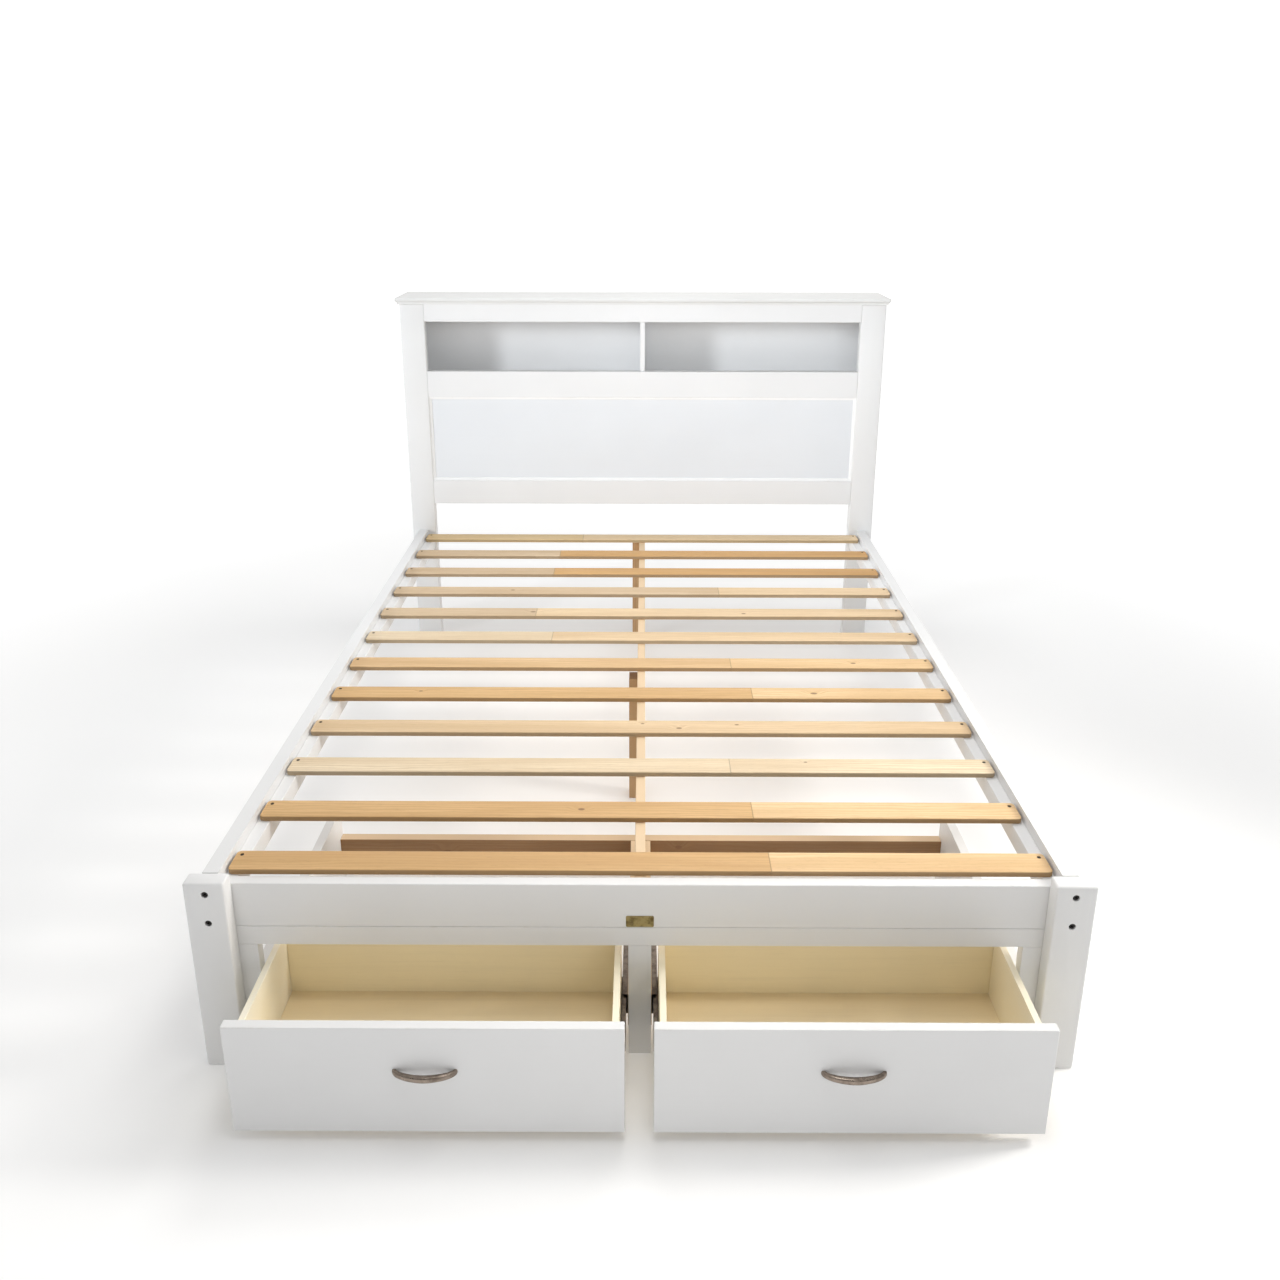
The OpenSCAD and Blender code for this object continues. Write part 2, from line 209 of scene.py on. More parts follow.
class Shader:
    """A Principled material, with short calls that add its nodes."""

    def __init__(self, name, metallic=0.0):
        self.material = bpy.data.materials.new(name)
        self.material.use_nodes = True
        self.tree = self.material.node_tree
        self.tree.nodes.clear()
        self.surface = self.node("BsdfPrincipled", {"Metallic": metallic})
        self.node("OutputMaterial", {"Surface": self.surface.outputs["BSDF"]})
        place = self.node("TexCoord")
        self.position = place.outputs["Object"]
        self.normal = place.outputs["Normal"]

    def node(self, kind, inputs=None, **settings):
        """A new shader node with its inputs fed."""
        made = self.tree.nodes.new("ShaderNode" + kind)
        for key, value in settings.items():
            setattr(made, key, value)
        for key, value in (inputs or {}).items():
            self.feed(made.inputs[key], value)
        return made

    def feed(self, socket, value):
        """Links a socket, or sets its value."""
        if isinstance(value, bpy.types.NodeSocket):
            self.tree.links.new(value, socket)
        elif socket.type == "RGBA":
            socket.default_value = (*value, 1.0)
        else:
            socket.default_value = value

    def math(self, operation, a, b=0.0, c=0.0):
        return self.node("Math", {0: a, 1: b, 2: c}, operation=operation).outputs[0]

    def vector(self, operation, a, b=(0.0, 0.0, 0.0)):
        return self.node("VectorMath", {0: a, 1: b}, operation=operation).outputs[0]

    def parts(self, vector):
        return self.node("SeparateXYZ", {0: vector}).outputs

    def joined(self, x, y, z):
        return self.node("CombineXYZ", {0: x, 1: y, 2: z}).outputs[0]

    def remap(self, value, low, high, to_low=0.0, to_high=1.0):
        """Smooth step from to_low to to_high as the value goes from low to high."""
        made = self.node("MapRange", {0: value, 1: low, 2: high, 3: to_low, 4: to_high})
        made.interpolation_type = "SMOOTHSTEP"
        return made.outputs[0]

    def blend(self, factor, a, b):
        """Colour a where the factor is 0 and b where it is 1."""
        made = self.node("Mix", data_type="RGBA")
        self.feed(made.inputs["Factor"], factor)
        for socket, colour in zip([s for s in made.inputs if s.type == "RGBA"], (a, b)):
            self.feed(socket, colour)
        return next(s for s in made.outputs if s.type == "RGBA")

    def noise(self, place, frequency, detail=2.0, roughness=0.5, distortion=0.0):
        """Noise from 0 to 1 whose features repeat about frequency times a metre."""
        if isinstance(frequency, (int, float)):
            frequency = (frequency,) * 3
        made = self.node("TexNoise", {"Vector": self.vector("MULTIPLY", place, frequency),
                                      "Scale": 1.0, "Detail": detail, "Roughness": roughness,
                                      "Distortion": distortion})
        return made.outputs[0]

    def bump(self, height, depth, below=None):
        """Relief of the given depth, on top of another one."""
        inputs = {"Height": height, "Distance": depth, "Strength": 1.0}
        if below is not None:
            inputs["Normal"] = below
        return self.node("Bump", inputs).outputs[0]

    def set(self, **values):
        """Feeds the surface's sockets, and gives the finished material."""
        for key, value in values.items():
            self.feed(self.surface.inputs[key.replace("_", " ").title()], value)
        return self.material

    def edge_distance(self, low, high):
        """Metres from a point on a block's faces to the block's nearest edge."""
        from_centre = self.vector("SUBTRACT", self.position, tuple((low + high) / 2))
        inside = self.vector("SUBTRACT", tuple((high - low) / 2),
                             self.vector("ABSOLUTE", from_centre))
        x, y, z = self.parts(inside)
        lesser, greater = self.math("MINIMUM", x, y), self.math("MAXIMUM", x, y)
        return self.math("MAXIMUM", lesser, self.math("MINIMUM", greater, z))


# ---------- materials ----------

def longest_axis(low, high):
    """The axis that a board's grain runs along."""
    size = high - low
    return max(range(3), key=lambda k: size[k])


def painted(node, tone=PAINT, dull=PAINT_DULL):
    """Satin white paint sprayed on a board whose grain still shows a little."""
    low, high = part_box(node)
    s = Shader(f"paint_{node}")
    film = s.noise(s.position, 2.4, detail=3)
    grain = s.noise(s.position, stretch(longest_axis(low, high), 3.0, 110.0), detail=4,
                    roughness=0.62)
    scuffs = s.noise(s.position, 34.0, detail=5, roughness=0.65)
    near_edge = s.remap(s.edge_distance(low, high), 3.5 * MM, 0.5 * MM)
    colour = s.blend(s.remap(film, 0.3, 0.75), tone, dull)
    colour = s.blend(s.remap(grain, 0.52, 0.80, 0.0, 0.22), colour, dull)
    worn = s.math("MULTIPLY", near_edge, s.remap(scuffs, 0.52, 0.70, 0.0, 0.35))
    colour = s.blend(worn, colour, PAINT_RUBBED)
    peel = s.noise(s.position, 520.0, detail=2)
    relief = s.bump(peel, 0.10 * MM, s.bump(grain, 0.25 * MM))
    return s.set(base_color=colour, roughness=s.remap(scuffs, 0.3, 0.7, 0.34, 0.50), normal=relief)


def grain_pair(tone):
    """Early and late wood of a timber tone."""
    return shade(tone, 1.08), tuple(c * f for c, f in zip(tone, (0.84, 0.77, 0.68)))


def timber(name, node, tones, joints=(), knots=(), seed=0.0, edge=None):
    """Clear-finished softwood: growth rings, fibres, pores, end grain, knots and glued joints.

    Each joint starts the next tone and shifts the grain; edge is the tone put on the faces across
    the board's thickness to paint the light that falls on them, such as on the pine tops; without
    it these faces get a darker painted shade, as on the slats' fronts and ends.
    """
    low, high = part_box(node)
    size = high - low
    axis = longest_axis(low, high)
    wide = max((k for k in range(3) if k != axis), key=lambda k: size[k])
    thin = 3 - axis - wide
    s = Shader(name)
    place = s.parts(s.position)
    fingers = s.math("MULTIPLY", s.math("PINGPONG", place[thin], 2.5 * MM), 2.4)
    light_out, dark_out = grain_pair(tones[0])
    dark = dark_out
    piece = 0.0
    for joint, (next_light, next_dark) in zip(joints, map(grain_pair, tones[1:])):
        past = s.math("GREATER_THAN", s.math("SUBTRACT", place[axis], fingers), joint)
        piece = s.math("ADD", past, piece)
        light_out = s.blend(past, light_out, next_light)
        dark_out = s.blend(past, dark_out, next_dark)
    shift = s.math("MULTIPLY_ADD", piece, 3.7, seed)
    moved = s.vector("ADD", s.position, s.joined(shift, shift, shift))
    bend = 0.0
    knot_mask = 0.0
    for along, across, radius in knots:
        a = s.math("MULTIPLY", s.math("SUBTRACT", place[axis], along), 0.62)
        b = s.math("SUBTRACT", place[wide], across)
        reach = s.math("SQRT", s.math("ADD", s.math("MULTIPLY", a, a), s.math("MULTIPLY", b, b)))
        bend = s.math("ADD", bend, s.remap(reach, 5 * radius, radius / 2, 0.0, 3 * radius))
        knot_mask = s.math("MAXIMUM", knot_mask, s.remap(reach, 1.3 * radius, 0.7 * radius))
    if knots:
        moved = s.vector("ADD", moved, s.joined(*(bend if k == wide else 0.0 for k in range(3))))
    broad = s.noise(moved, stretch(axis, 1.3, 17.0), detail=3, distortion=0.4)
    rings = s.node("TexWave", {"Vector": s.vector("MULTIPLY", moved, stretch(axis, 0.10, 1.0)),
                               "Scale": 34.0, "Distortion": 9.0, "Detail": 3.0,
                               "Detail Scale": 1.1, "Detail Roughness": 0.55},
                   bands_direction="XYZ"[wide]).outputs["Fac"]
    fibres = s.noise(moved, stretch(axis, 11.0, 480.0), detail=3, roughness=0.6)
    pores = s.noise(moved, stretch(axis, 55.0, 1500.0), detail=1)
    colour = s.blend(s.remap(broad, 0.30, 0.70, 0.0, 0.9), light_out, dark_out)
    colour = s.blend(s.remap(rings, 0.35, 1.0, 0.0, 0.65), colour, dark_out)
    colour = s.blend(s.remap(fibres, 0.45, 0.75, 0.0, 0.35), colour, dark_out)
    colour = s.blend(s.remap(pores, 0.62, 0.74, 0.0, 0.35), colour, shade(dark, 0.55))
    facing = s.parts(s.vector("ABSOLUTE", s.normal))
    # Painted light and shade: faces across the thickness, such as the slats' fronts and ends, take
    # the side tone, or a darker painted shade when none is given
    painted_side_shading = s.remap(facing[thin], 0.65, 0.35, 0.0, 0.8)
    colour = s.blend(painted_side_shading, colour, edge or shade(dark, 0.52))
    colour = s.blend(s.remap(facing[axis], 0.55, 0.85, 0.0, 0.60), colour, shade(dark, 0.62))
    if knots:
        colour = s.blend(s.math("MULTIPLY", knot_mask, 0.8), colour, KNOT)
    for joint in joints:
        past = s.math("SUBTRACT", s.math("SUBTRACT", place[axis], fingers), joint)
        gap = s.math("ABSOLUTE", past)
        colour = s.blend(s.remap(gap, 1.6 * MM, 0.4 * MM, 0.0, 0.60), colour, shade(dark, 0.45))
    relief = s.bump(rings, 0.12 * MM, s.bump(fibres, 0.16 * MM, s.bump(pores, 0.10 * MM)))
    return s.set(base_color=colour, roughness=s.remap(fibres, 0.3, 0.7, 0.42, 0.62),
                 normal=relief)


def lined(node, tone):
    """Cream lacquer over the drawer's plywood."""
    axis = longest_axis(*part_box(node))
    s = Shader(f"lining_{node}")
    cloud = s.noise(s.position, 3.5, detail=3)
    grain = s.noise(s.position, stretch(axis, 2.2, 70.0), detail=4, roughness=0.6, distortion=0.3)
    fine = s.noise(s.position, stretch(axis, 14.0, 600.0), detail=2)
    colour = s.blend(s.remap(cloud, 0.3, 0.7), tone, shade(tone, 0.96))
    colour = s.blend(s.remap(grain, 0.48, 0.75, 0.0, 0.25), colour, shade(tone, 0.86))
    colour = s.blend(s.remap(fine, 0.55, 0.75, 0.0, 0.20), colour, shade(tone, 0.80))
    relief = s.bump(fine, 0.08 * MM, s.bump(grain, 0.15 * MM))
    return s.set(base_color=colour, roughness=s.remap(grain, 0.3, 0.7, 0.40, 0.55), normal=relief)


def metal(name, tones, axis, roughness):
    """Brushed or plated metal whose fine lines run along one axis."""
    tone, tarnish = tones
    s = Shader(name, metallic=1.0)
    lines = s.noise(s.position, stretch(axis, 40.0, 5200.0), detail=2)
    cloud = s.noise(s.position, 65.0, detail=4, roughness=0.6)
    spots = s.noise(s.position, 420.0, detail=3)
    colour = s.blend(s.remap(cloud, 0.40, 0.70), tone, tarnish)
    colour = s.blend(s.remap(spots, 0.62, 0.74, 0.0, 0.5), colour, shade(tarnish, 0.5))
    return s.set(base_color=colour, roughness=s.remap(cloud, 0.3, 0.7, *roughness),
                 normal=s.bump(lines, 0.05 * MM))


def floor_material():
    """Smooth pale studio floor with a soft glow."""
    s = Shader("floor")
    cloud = s.noise(s.position, 0.9, detail=3)
    fine = s.noise(s.position, 60.0, detail=3)
    away = s.node("VectorMath", {0: s.position}, operation="LENGTH").outputs["Value"]
    colour = s.blend(s.remap(cloud, 0.3, 0.7), FLOOR_PALE, shade(FLOOR_PALE, 0.985))
    s.set(emission_strength=s.remap(away, *FLOOR_GLOW_RADIUS, *FLOOR_GLOW),
          emission_color=(1.0, 1.0, 1.0))
    return s.set(base_color=colour, roughness=s.remap(fine, 0.3, 0.7, 0.55, 0.7),
                 normal=s.bump(fine, 0.1 * MM))


# ---------- meshes ----------

def add_piece(name, mesh, material, body, nodes):
    """Puts a finished mesh in the scene as the piece that stands for the given CAD nodes."""
    for polygon in mesh.polygons:
        polygon.use_smooth = True
    mesh.set_sharp_from_angle(angle=SMOOTH_BELOW)
    mesh.materials.clear()
    mesh.materials.append(material)
    piece = bpy.data.objects.new(name, mesh)
    bpy.context.scene.collection.objects.link(piece)
    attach(piece, body)
    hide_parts(*nodes)
    return piece


def to_mesh(name, bm):
    """Mesh from a bmesh, with its faces turned outwards."""
    bmesh.ops.recalc_face_normals(bm, faces=bm.faces)
    mesh = bpy.data.meshes.new(name)
    bm.to_mesh(mesh)
    bm.free()
    return mesh


def loft(loops, ring=False):
    """Skin through loops of equally many points, closed at its ends or round on itself."""
    bm = bmesh.new()
    rows = [[bm.verts.new(p) for p in loop] for loop in loops]
    count = len(rows[0])
    for i in range(len(rows) if ring else len(rows) - 1):
        a, b = rows[i], rows[(i + 1) % len(rows)]
        for k in range(count):
            n = (k + 1) % count
            bm.faces.new((a[k], a[n], b[n], b[k]))
    if not ring:
        bm.faces.new(list(reversed(rows[0])))
        bm.faces.new(rows[-1])
    return bm


def lathe(profile, steps=32):
    """Solid of revolution about +Z from (radius, height) pairs that start and end on the axis."""
    bm = bmesh.new()
    rings = []
    for radius, height in profile:
        if radius == 0:
            rings.append([bm.verts.new((0, 0, height))])
        else:
            turns = [2 * math.pi * k / steps for k in range(steps)]
            rings.append([bm.verts.new((radius * math.cos(t), radius * math.sin(t), height))
                          for t in turns])
    for a, b in zip(rings, rings[1:]):
        for k in range(steps):
            n = (k + 1) % steps
            corners = [a[k % len(a)], a[n % len(a)], b[n % len(b)], b[k % len(b)]]
            bm.faces.new(list(dict.fromkeys(corners)))
    return bm


def islands(node):
    """Boxes of a CAD node's separate solids, as (low, high) pairs."""
    bm = bmesh.new()
    bm.from_mesh(NODES[node].data)
    bmesh.ops.remove_doubles(bm, verts=bm.verts, dist=1e-5)
    left, found = set(bm.verts), []
    while left:
        wave = [left.pop()]
        solid = list(wave)
        while wave:
            near = {e.other_vert(v) for v in wave for e in v.link_edges} & left
            left -= near
            wave = list(near)
            solid += wave
        low = Vector([min(v.co[k] for v in solid) for k in range(3)])
        high = Vector([max(v.co[k] for v in solid) for k in range(3)])
        found.append((low, high))
    bm.free()
    return sorted(found, key=lambda b: (round(b[0].y, 4), round(b[0].x, 4), round(b[0].z, 4)))


def cut(mesh, cutters):
    """The mesh with closed cutter meshes taken out of it."""
    whole = bpy.data.objects.new("whole", mesh)
    bpy.context.scene.collection.objects.link(whole)
    tools = []
    for cutter in cutters:
        tool = bpy.data.objects.new("cutter", cutter)
        bpy.context.scene.collection.objects.link(tool)
        modifier = whole.modifiers.new("cut", "BOOLEAN")
        modifier.object, modifier.operation, modifier.solver = tool, "DIFFERENCE", "EXACT"
        tools.append(tool)
    graph = bpy.context.evaluated_depsgraph_get()
    result = bpy.data.meshes.new_from_object(whole.evaluated_get(graph))
    for thing in [whole, *tools]:
        bpy.data.objects.remove(thing)
    return result


def block_mesh(name, low, high, rounding, segments=3):
    """Board with rounded edges."""
    bm = bmesh.new()
    bmesh.ops.create_cube(bm, size=1.0)
    size, centre = high - low, (low + high) / 2
    for v in bm.verts:
        v.co = Vector([v.co[k] * size[k] + centre[k] for k in range(3)])
    bmesh.ops.bevel(bm, geom=bm.edges[:], offset=rounding, segments=segments, affect="EDGES",
                    profile=0.5, clamp_overlap=True)
    return to_mesh(name, bm)


def turn_from_z(direction):
    """Rotation that takes +Z to a direction."""
    return Vector((0, 0, 1)).rotation_difference(direction).to_matrix().to_4x4()


# ---------- frame pieces with a plain shape ----------

def dress(node, material, rounding, segments=3):
    """Gives a CAD board its material, and rounds its edges."""
    piece = NODES[node]
    piece.data.materials.clear()
    piece.data.materials.append(material)
    weld = piece.modifiers.new("weld", "WELD")
    weld.merge_threshold = 0.01 * MM
    bevel = piece.modifiers.new("rounding", "BEVEL")
    bevel.width, bevel.segments = rounding, segments
    bevel.limit_method, bevel.angle_limit = "ANGLE", ROUND_ABOVE
    bevel.harden_normals = True


def dress_painted():
    """White boards; the recessed panel has a cooler tone."""
    for node, rounding in PAINTED.items():
        tone = PANEL_PAINT if node == "headboard_panel" else PAINT
        dress(node, painted(node, tone, shade(tone, 0.955)), rounding * MM)


def dress_drawers():
    """Drawer sides in cream paint, backs and bottoms in cream lacquer; the creams of the sides and
    backs are raised paler as painted light.
    """
    for side in ("left", "right"):
        sides = f"drawer_{side}_sides"
        dress(sides, painted(sides, CREAM_PAINT_LIT, CREAM_LIT), DRAWER_SIDE_ROUNDING)
        for part, tone in (("back", CREAM_LIT), ("bottom", CREAM_FLOOR)):
            node = f"drawer_{side}_{part}"
            dress(node, lined(node, tone), LINING_ROUNDING)


def dress_timber():
    """Bare pine: the beam, its legs and the drawer bay's boards."""
    for i, (node, tone, edge) in enumerate(PINE_PARTS):
        knots = REAR_BOARD_KNOTS if node == "bay_rear_board" else ()
        material = timber(f"pine_{node}", node, (tone,), knots=knots, seed=11.0 + i, edge=edge)
        dress(node, material, PINE_ROUNDING)


def dress_slides():
    """Dark zinc on every member of the slides."""
    steel = metal("slide_steel", SLIDE_STEEL, Y, (0.32, 0.5))
    for node in ("slide_channels", "slide_middles_left", "slide_middles_right",
                 "drawer_left_runners", "drawer_right_runners"):
        dress(node, steel, SLIDE_ROUNDING, 2)


# ---------- frame pieces with finer shapes ----------

def cylinder_cutter(place, axis, radius, length):
    """Closed cylinder from a point along an axis, for cutting a bore."""
    bm = bmesh.new()
    bmesh.ops.create_cone(bm, cap_ends=True, segments=48, radius1=radius, radius2=radius,
                          depth=length)
    middle = Matrix.Translation(Vector(place) + axis * (length / 2))
    bmesh.ops.transform(bm, matrix=middle @ turn_from_z(axis), verts=bm.verts)
    return to_mesh("cutter", bm)


def bored_posts(bolts):
    """Foot posts and headboard stiles, with the holes that their bolt heads sit in."""
    for node in ("foot_post_left", "foot_post_right",
                 "headboard_stile_left", "headboard_stile_right"):
        low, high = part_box(node)
        at_foot = node.startswith("foot")
        cutters = []
        for b_low, b_high in bolts:
            x, z = (b_low.x + b_high.x) / 2, (b_low.z + b_high.z) / 2
            if not low.x < x < high.x or at_foot != (b_low.y < 0):
                continue
            if at_foot:
                face, depth, inwards = low.y, b_low.y + BOLT_HEAD - low.y, 1
            else:
                face, depth, inwards = high.y, high.y - (b_high.y - BOLT_HEAD), -1
            cutters.append(cylinder_cutter((x, face - inwards * depth, z),
                                           Vector((0, inwards, 0)), BOLT_SINK_RADIUS, 2 * depth))
        mesh = cut(block_mesh(node, low, high, POST_ROUNDING), cutters)
        add_piece(node + "_board", mesh, painted(node), "bed_frame", [node])


def copies(mesh, places):
    """One mesh that holds a copy of another at each matrix."""
    bm = bmesh.new()
    for place in places:
        before = len(bm.verts)
        bm.from_mesh(mesh)
        bm.verts.ensure_lookup_table()
        bmesh.ops.transform(bm, matrix=place, verts=bm.verts[before:])
    return to_mesh(mesh.name, bm)


def socket_bolts(bolts):
    """Black bolts with a domed head and a hex socket."""
    radius, shank = 6 * MM, 4 * MM
    length = max(high.y - low.y for low, high in bolts)
    profile = [(0, 0), (radius - 1.6 * MM, 0), (radius - 0.5 * MM, 0.5 * MM), (radius, 1.8 * MM),
               (radius, BOLT_HEAD), (shank, BOLT_HEAD), (shank, length - 1 * MM),
               (shank - 1 * MM, length), (0, length)]
    bolt = to_mesh("bolt", lathe(profile, 36))
    hexagon = bmesh.new()
    bmesh.ops.create_cone(hexagon, cap_ends=True, segments=6, radius1=2.9 * MM, radius2=2.9 * MM,
                          depth=6 * MM)
    bolt = cut(bolt, [to_mesh("hexagon", hexagon)])
    places = []
    for low, high in bolts:
        x, z = (low.x + high.x) / 2, (low.z + high.z) / 2
        face, inwards = (low.y, 1) if low.y < 0 else (high.y, -1)
        places.append(Matrix.Translation((x, face, z)) @ turn_from_z(Vector((0, inwards, 0))))
    steel = metal("bolt_steel", BOLT_STEEL, Y, (0.38, 0.55))
    add_piece("frame_bolts_socket", copies(bolt, places), steel, "bed_frame",
              ["frame_bolts"])


def cross_screws(screws):
    """Countersunk screws with a cross recess, and a point."""
    head, shank = SCREW_HEAD_RADIUS, 2 * MM
    length = max(high.z - low.z for low, high in screws)
    profile = [(0, 0), (head - 0.3 * MM, 0), (head, -0.4 * MM), (shank, -2.4 * MM),
               (shank, 5 * MM - length), (0, -length)]
    screw = to_mesh("screw", lathe(profile, 28))
    arms = []
    for size in ((4.6, 1.0, 3.0), (1.0, 4.6, 3.0)):
        half = Vector(size) * MM / 2
        arms.append(block_mesh("arm", -half, half, 0.1 * MM, 1))
    screw = cut(screw, arms)
    places = [Matrix.Translation(((low.x + high.x) / 2, (low.y + high.y) / 2, high.z))
              for low, high in screws]
    steel = metal("screw_steel", SCREW_STEEL, X, (0.35, 0.5))
    add_piece("slat_screws_cross", copies(screw, places), steel, "bed_frame",
              ["slat_screws"])


def rounded_outline(x0, y0, x1, y1, radius, steps=6):
    """Corners of a rectangle, each an arc, counterclockwise."""
    points = []
    corners = ((x1 - radius, y0 + radius, -90), (x1 - radius, y1 - radius, 0),
               (x0 + radius, y1 - radius, 90), (x0 + radius, y0 + radius, 180))
    for cx, cy, start in corners:
        for k in range(steps + 1):
            turn = math.radians(start + 90 * k / steps)
            points.append((cx + radius * math.cos(turn), cy + radius * math.sin(turn)))
    return points


def slat_mesh(node, screws):
    """Slat with rounded corners and edges, and a countersunk hole over each screw."""
    low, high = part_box(node)
    loops = []
    turns = [math.pi / 2 * k / 4 for k in range(5)]
    levels = [(SLAT_ROUNDING * (1 - math.sin(t)), low.z + SLAT_ROUNDING * (1 - math.cos(t)))
              for t in turns]
    levels += [(SLAT_ROUNDING * (1 - math.cos(t)), high.z - SLAT_ROUNDING * (1 - math.sin(t)))
               for t in turns]
    for inset, z in levels:
        outline = rounded_outline(low.x + inset, low.y + inset, high.x - inset, high.y - inset,
                                  SLAT_CORNER - inset)
        loops.append([(x, y, z) for x, y in outline])
    mesh = to_mesh(node, loft(loops))
    cutters = []
    for s_low, s_high in screws:
        x, y = (s_low.x + s_high.x) / 2, (s_low.y + s_high.y) / 2
        if low.y < y < high.y:
            sink_z = s_high.z
            profile = [(0, low.z - 1 * MM), (SCREW_HOLE_RADIUS, low.z - 1 * MM),
                       (SCREW_HOLE_RADIUS, sink_z - 3 * MM), (SCREW_SINK_RADIUS, sink_z - 0.6 * MM),
                       (SCREW_SINK_RADIUS, high.z + 1 * MM), (0, high.z + 1 * MM)]
            bm = lathe(profile, 28)
            bmesh.ops.translate(bm, vec=(x, y, 0), verts=bm.verts)
            cutters.append(to_mesh("sink", bm))
    return cut(mesh, cutters)


def slats(screws):
    """All slats, each with its own tones, joints and knots."""
    for i, (tones, joints) in enumerate(SLATS):
        node = f"slat_{i + 1:02d}"
        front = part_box(node)[0].y
        knots = [(along, front + across, radius)
                 for along, across, radius in SLAT_KNOTS.get(i, ())]
        material = timber(f"slat_wood_{i + 1:02d}", node, tones, joints, knots, seed=1.7 * i)
        add_piece(node + "_rounded", slat_mesh(node, screws), material, "bed_frame",
                  [node])


def rectangle(low, high, inset, z):
    """Corners of a level rectangle, inset at its front and ends but not at its back."""
    return [(low.x + inset, low.y + inset, z), (high.x - inset, low.y + inset, z),
            (high.x - inset, high.y, z), (low.x + inset, high.y, z)]


def moulded_cap():
    """Headboard cap with a cove under a half-round nose, mitred round its front corners."""
    low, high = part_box("headboard_cap")
    thick = high.z - low.z
    cove, lip, fillet, nose, nose_depth = 6 * MM, 1.2 * MM, 1.5 * MM, 0.58 * thick, 3.2 * MM
    steps = 8
    profile = [(cove + 2 * MM, 0.0), (cove, 0.0), (cove, fillet)]
    cove_height = thick - nose - fillet
    for k in range(1, steps + 1):
        t = math.pi / 2 * k / steps
        profile.append((cove - (cove - lip) * (1 - math.cos(t)),
                        fillet + cove_height * math.sin(t)))
    for k in range(1, 2 * steps + 1):
        t = math.pi * k / (2 * steps)
        drop = nose / 2 * (1 - math.cos(t))
        bulge = nose_depth * math.sin(t) ** 0.8
        profile.append((nose_depth - bulge, thick - nose + drop))
    loops = [rectangle(low, high, inset, low.z + z) for inset, z in profile]
    mesh = to_mesh("headboard_cap", loft(loops))
    # The cap's greyer paint is painted shade
    paint = painted("headboard_cap", CAP_PAINT_SHADED, shade(CAP_PAINT_SHADED, 0.96))
    add_piece("headboard_cap_moulded", mesh, paint, "bed_frame", ["headboard_cap"])


def panel_bead():
    """Mitred quarter-round bead round the recessed panel."""
    low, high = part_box("headboard_bead")
    wide, deep = 9 * MM, high.y - low.y
    profile = [(0.0, 0.0), (0.0, deep), (1.6 * MM, deep), (2.0 * MM, deep - 0.7 * MM)]
    steps = 7
    for k in range(steps + 1):
        t = math.pi / 2 * k / steps
        profile.append((2.4 * MM + (wide - 2.6 * MM) * math.sin(t),
                        0.4 * MM + (deep - 1.1 * MM) * math.cos(t)))
    profile.append((wide, 0.0))
    loops = []
    for inset, rise in profile:
        y = high.y - rise
        loops.append([(low.x + inset, y, low.z + inset), (high.x - inset, y, low.z + inset),
                      (high.x - inset, y, high.z - inset), (low.x + inset, y, high.z - inset)])
    mesh = to_mesh("headboard_bead", loft(loops, ring=True))
    # The bead's paler paint is a painted highlight
    paint = painted("headboard_bead", BEAD_PAINT_LIT, shade(BEAD_PAINT_LIT, 0.98))
    add_piece("headboard_bead_moulded", mesh, paint, "bed_frame",
              ["headboard_bead"])


def bow_handle(side, material):
    """Crescent bow handle: a bar that swells at its middle and lands on two feet."""
    node = f"drawer_{side}_handle"
    low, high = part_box(node)
    centre_x, face_y, centre_z = (low.x + high.x) / 2, high.y, (low.z + high.z) / 2
    tall_middle = high.z - low.z
    reach = face_y - low.y - HANDLE_THICK_MIDDLE / 2
    half = (high.x - low.x) / 2 - HANDLE_THICK_END / 2
    steps, around = 56, 20

    def path(t):
        """Point of the bar's middle line, from one foot to the other as t goes from 0 to pi."""
        return (-half * math.copysign(abs(math.cos(t)) ** (2 / HANDLE_BOW), math.cos(t)),
                -reach * math.sin(t) ** (2 / HANDLE_BOW))

    loops = []
    for i in range(steps + 1):
        t = math.pi * i / steps
        x, y = path(t)
        if i in (0, steps):
            along = Vector((0, -1 if i == 0 else 1))
        else:
            ahead, behind = path(t + 1e-3), path(t - 1e-3)
            along = Vector((ahead[0] - behind[0], ahead[1] - behind[1])).normalized()
        outward = Vector((along.y, -along.x))
        swell = math.sin(t) ** 1.5
        a = (HANDLE_THICK_END + (HANDLE_THICK_MIDDLE - HANDLE_THICK_END) * swell) / 2
        b = (HANDLE_TALL_END + (tall_middle - HANDLE_TALL_END) * swell) / 2
        loop = []
        for k in range(around):
            u = 2 * math.pi * k / around
            c, s = math.cos(u), math.sin(u)
            p = a * math.copysign(abs(c) ** 0.75, c)
            q = b * math.copysign(abs(s) ** 0.75, s)
            loop.append((centre_x + x + outward.x * p, face_y + y + outward.y * p, centre_z + q))
        loops.append(loop)
    mesh = to_mesh(node, loft(loops))
    add_piece(node + "_bow", mesh, material, f"drawer_{side}", [node])


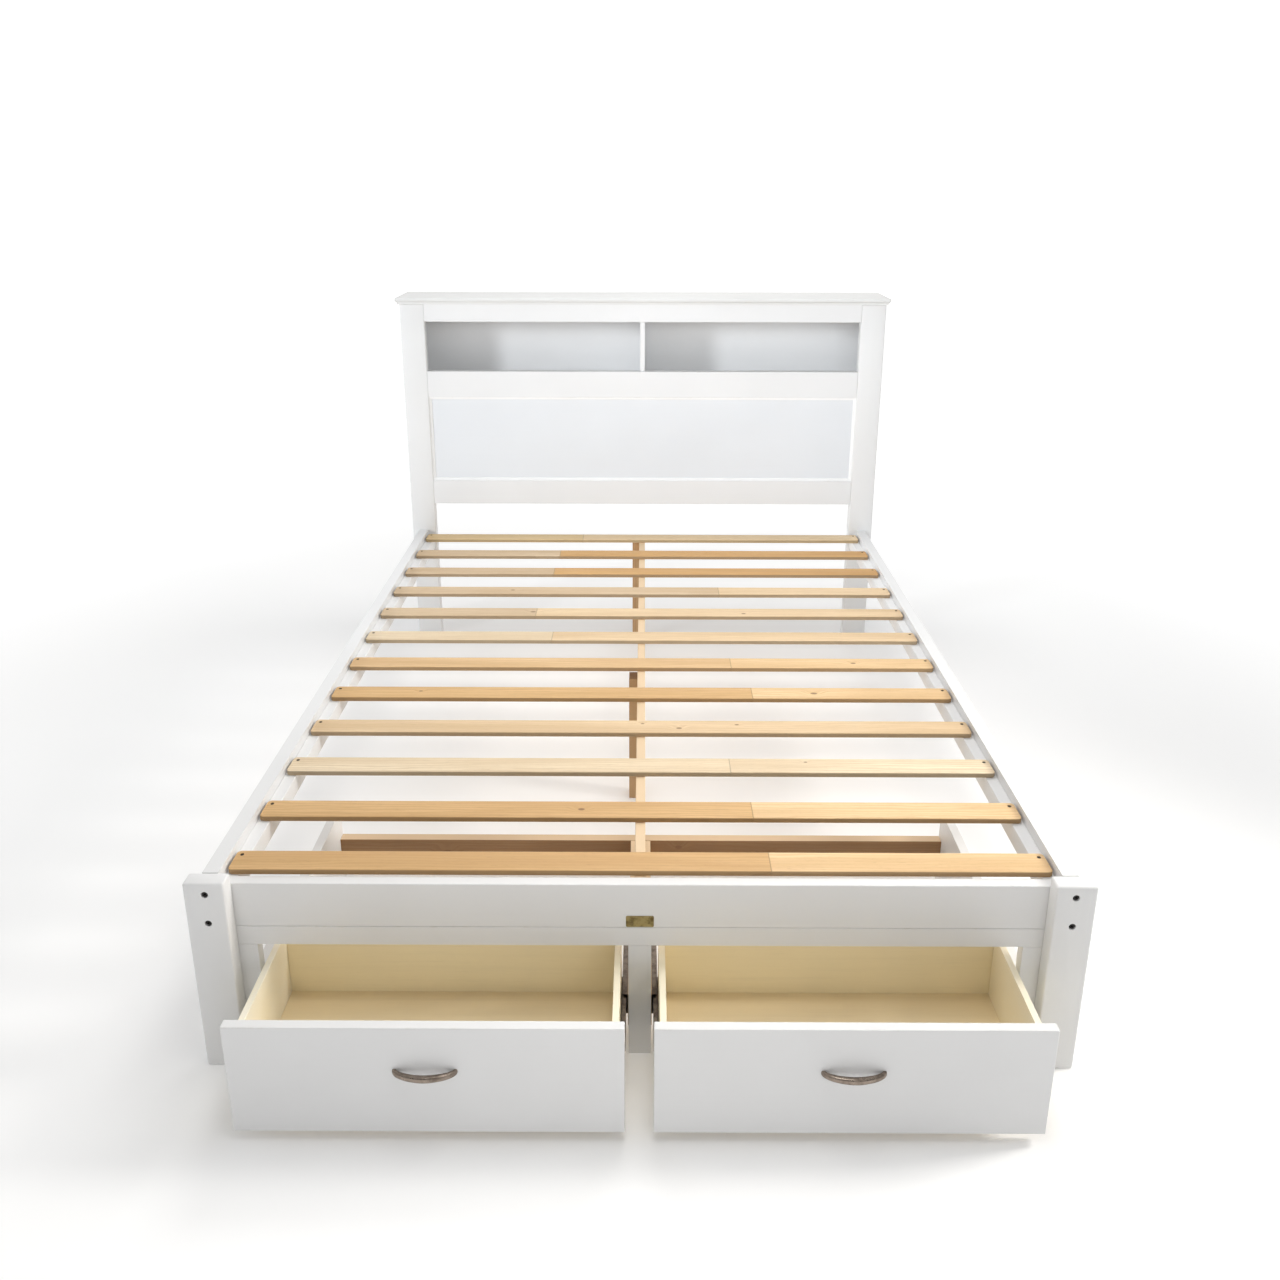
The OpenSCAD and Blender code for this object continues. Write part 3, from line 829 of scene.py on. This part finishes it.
def blank_plate():
    """Blank plate with a raised rim and two pins."""
    low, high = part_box("foot_plate")
    back, front = high.y, low.y
    levels = [(0.0, back), (0.0, front + 0.4 * MM), (0.4 * MM, front), (1.8 * MM, front),
              (2.2 * MM, front + 0.45 * MM)]
    loops = []
    for inset, y in levels:
        outline = rounded_outline(low.x + inset, low.z + inset, high.x - inset, high.z - inset,
                                  PLATE_CORNER - inset)
        loops.append([(x, y, z) for x, z in outline])
    plate = to_mesh("foot_plate", loft(loops))
    pin = to_mesh("pin", lathe([(0, 0), (1.3 * MM, 0), (1.3 * MM, 0.3 * MM), (0.9 * MM, 0.6 * MM),
                                (0, 0.75 * MM)], 20))
    turn = turn_from_z(Vector((0, -1, 0)))
    z, seat = (low.z + high.z) / 2, front + 0.5 * MM
    places = [Matrix.Translation((x, seat, z)) @ turn for x in (low.x + 5 * MM, high.x - 5 * MM)]
    whole = bmesh.new()
    whole.from_mesh(plate)
    whole.from_mesh(copies(pin, places))
    brass = metal("brass", BRASS, X, (0.36, 0.55))
    add_piece("foot_plate_blank", to_mesh("foot_plate", whole), brass, "bed_frame",
              ["foot_plate"])


# ---------- stage ----------

def add_floor():
    """Level floor at the object's feet."""
    bm = bmesh.new()
    bmesh.ops.create_grid(bm, x_segments=8, y_segments=8, size=FLOOR_HALF_SIZE)
    mesh = to_mesh("floor", bm)
    mesh.materials.append(floor_material())
    floor = bpy.data.objects.new("floor", mesh)
    bpy.context.scene.collection.objects.link(floor)


def add_lights():
    """Soft rectangular lights, each turned towards its target."""
    for name, place, target, size, power, colour, spread in LIGHTS:
        data = bpy.data.lights.new(name, "AREA")
        data.shape, data.size, data.size_y = "RECTANGLE", size[0], size[1]
        data.energy, data.color, data.spread = power, colour, math.radians(spread)
        light = bpy.data.objects.new(name, data)
        light.location = place
        light.rotation_euler = (Vector(target) - Vector(place)).to_track_quat("-Z", "Y").to_euler()
        bpy.context.scene.collection.objects.link(light)


def add_world():
    """Pale surroundings, bright overhead and behind the headboard and dim behind the camera."""
    world = bpy.data.worlds.new("studio")
    world.use_nodes = True
    nodes, links = world.node_tree.nodes, world.node_tree.links

    def ramp(value, span, strengths):
        """Smooth step between two strengths as a value crosses a span."""
        made = nodes.new("ShaderNodeMapRange")
        made.interpolation_type = "SMOOTHSTEP"
        links.new(value, made.inputs["Value"])
        keys = ("From Min", "From Max", "To Min", "To Max")
        for key, limit in zip(keys, (*span, *strengths)):
            made.inputs[key].default_value = limit
        return made.outputs["Result"]

    direction = nodes.new("ShaderNodeTexCoord").outputs["Generated"]
    towards = nodes.new("ShaderNodeVectorMath")
    towards.operation = "DOT_PRODUCT"
    links.new(direction, towards.inputs[0])
    towards.inputs[1].default_value = WORLD_BRIGHT_SIDE
    height = nodes.new("ShaderNodeSeparateXYZ")
    links.new(direction, height.inputs["Vector"])
    both = nodes.new("ShaderNodeMath")
    links.new(ramp(towards.outputs["Value"], WORLD_TURN, WORLD_STRENGTH), both.inputs[0])
    links.new(ramp(height.outputs["Z"], HORIZON_RISE, HORIZON_STRENGTH), both.inputs[1])
    background = nodes["Background"]
    background.inputs["Color"].default_value = (1.0, 1.0, 1.0, 1.0)
    links.new(both.outputs["Value"], background.inputs["Strength"])
    bpy.context.scene.world = world


def add_camera():
    """The scene's camera: rolled about its view, pitched down, then turned."""
    data = bpy.data.cameras.new("camera")
    data.sensor_width, data.lens, data.shift_y = CAMERA_SENSOR, CAMERA_LENS, CAMERA_SHIFT
    data.clip_end = CAMERA_REACH
    camera = bpy.data.objects.new("camera", data)
    camera.location = CAMERA_PLACE
    turn = Matrix.Rotation(CAMERA_TURN, 4, "Z")
    pitch = Matrix.Rotation(math.pi / 2 - CAMERA_PITCH, 4, "X")
    roll = Matrix.Rotation(CAMERA_ROLL, 4, "Z")
    camera.rotation_euler = (turn @ pitch @ roll).to_euler()
    bpy.context.scene.collection.objects.link(camera)
    bpy.context.scene.camera = camera


def build():
    """The whole scene: camera, surroundings, stage, then the bed's pieces."""
    bpy.context.scene.view_settings.view_transform = "Standard"
    add_camera()
    add_world()
    add_lights()
    add_floor()
    bolts, screws = islands("frame_bolts"), islands("slat_screws")
    dress_painted()
    dress_drawers()
    dress_timber()
    dress_slides()
    bored_posts(bolts)
    socket_bolts(bolts)
    cross_screws(screws)
    slats(screws)
    moulded_cap()
    panel_bead()
    nickel = metal("satin_nickel", NICKEL, X, (0.25, 0.42))
    for side in ("left", "right"):
        bow_handle(side, nickel)
    blank_plate()


build()
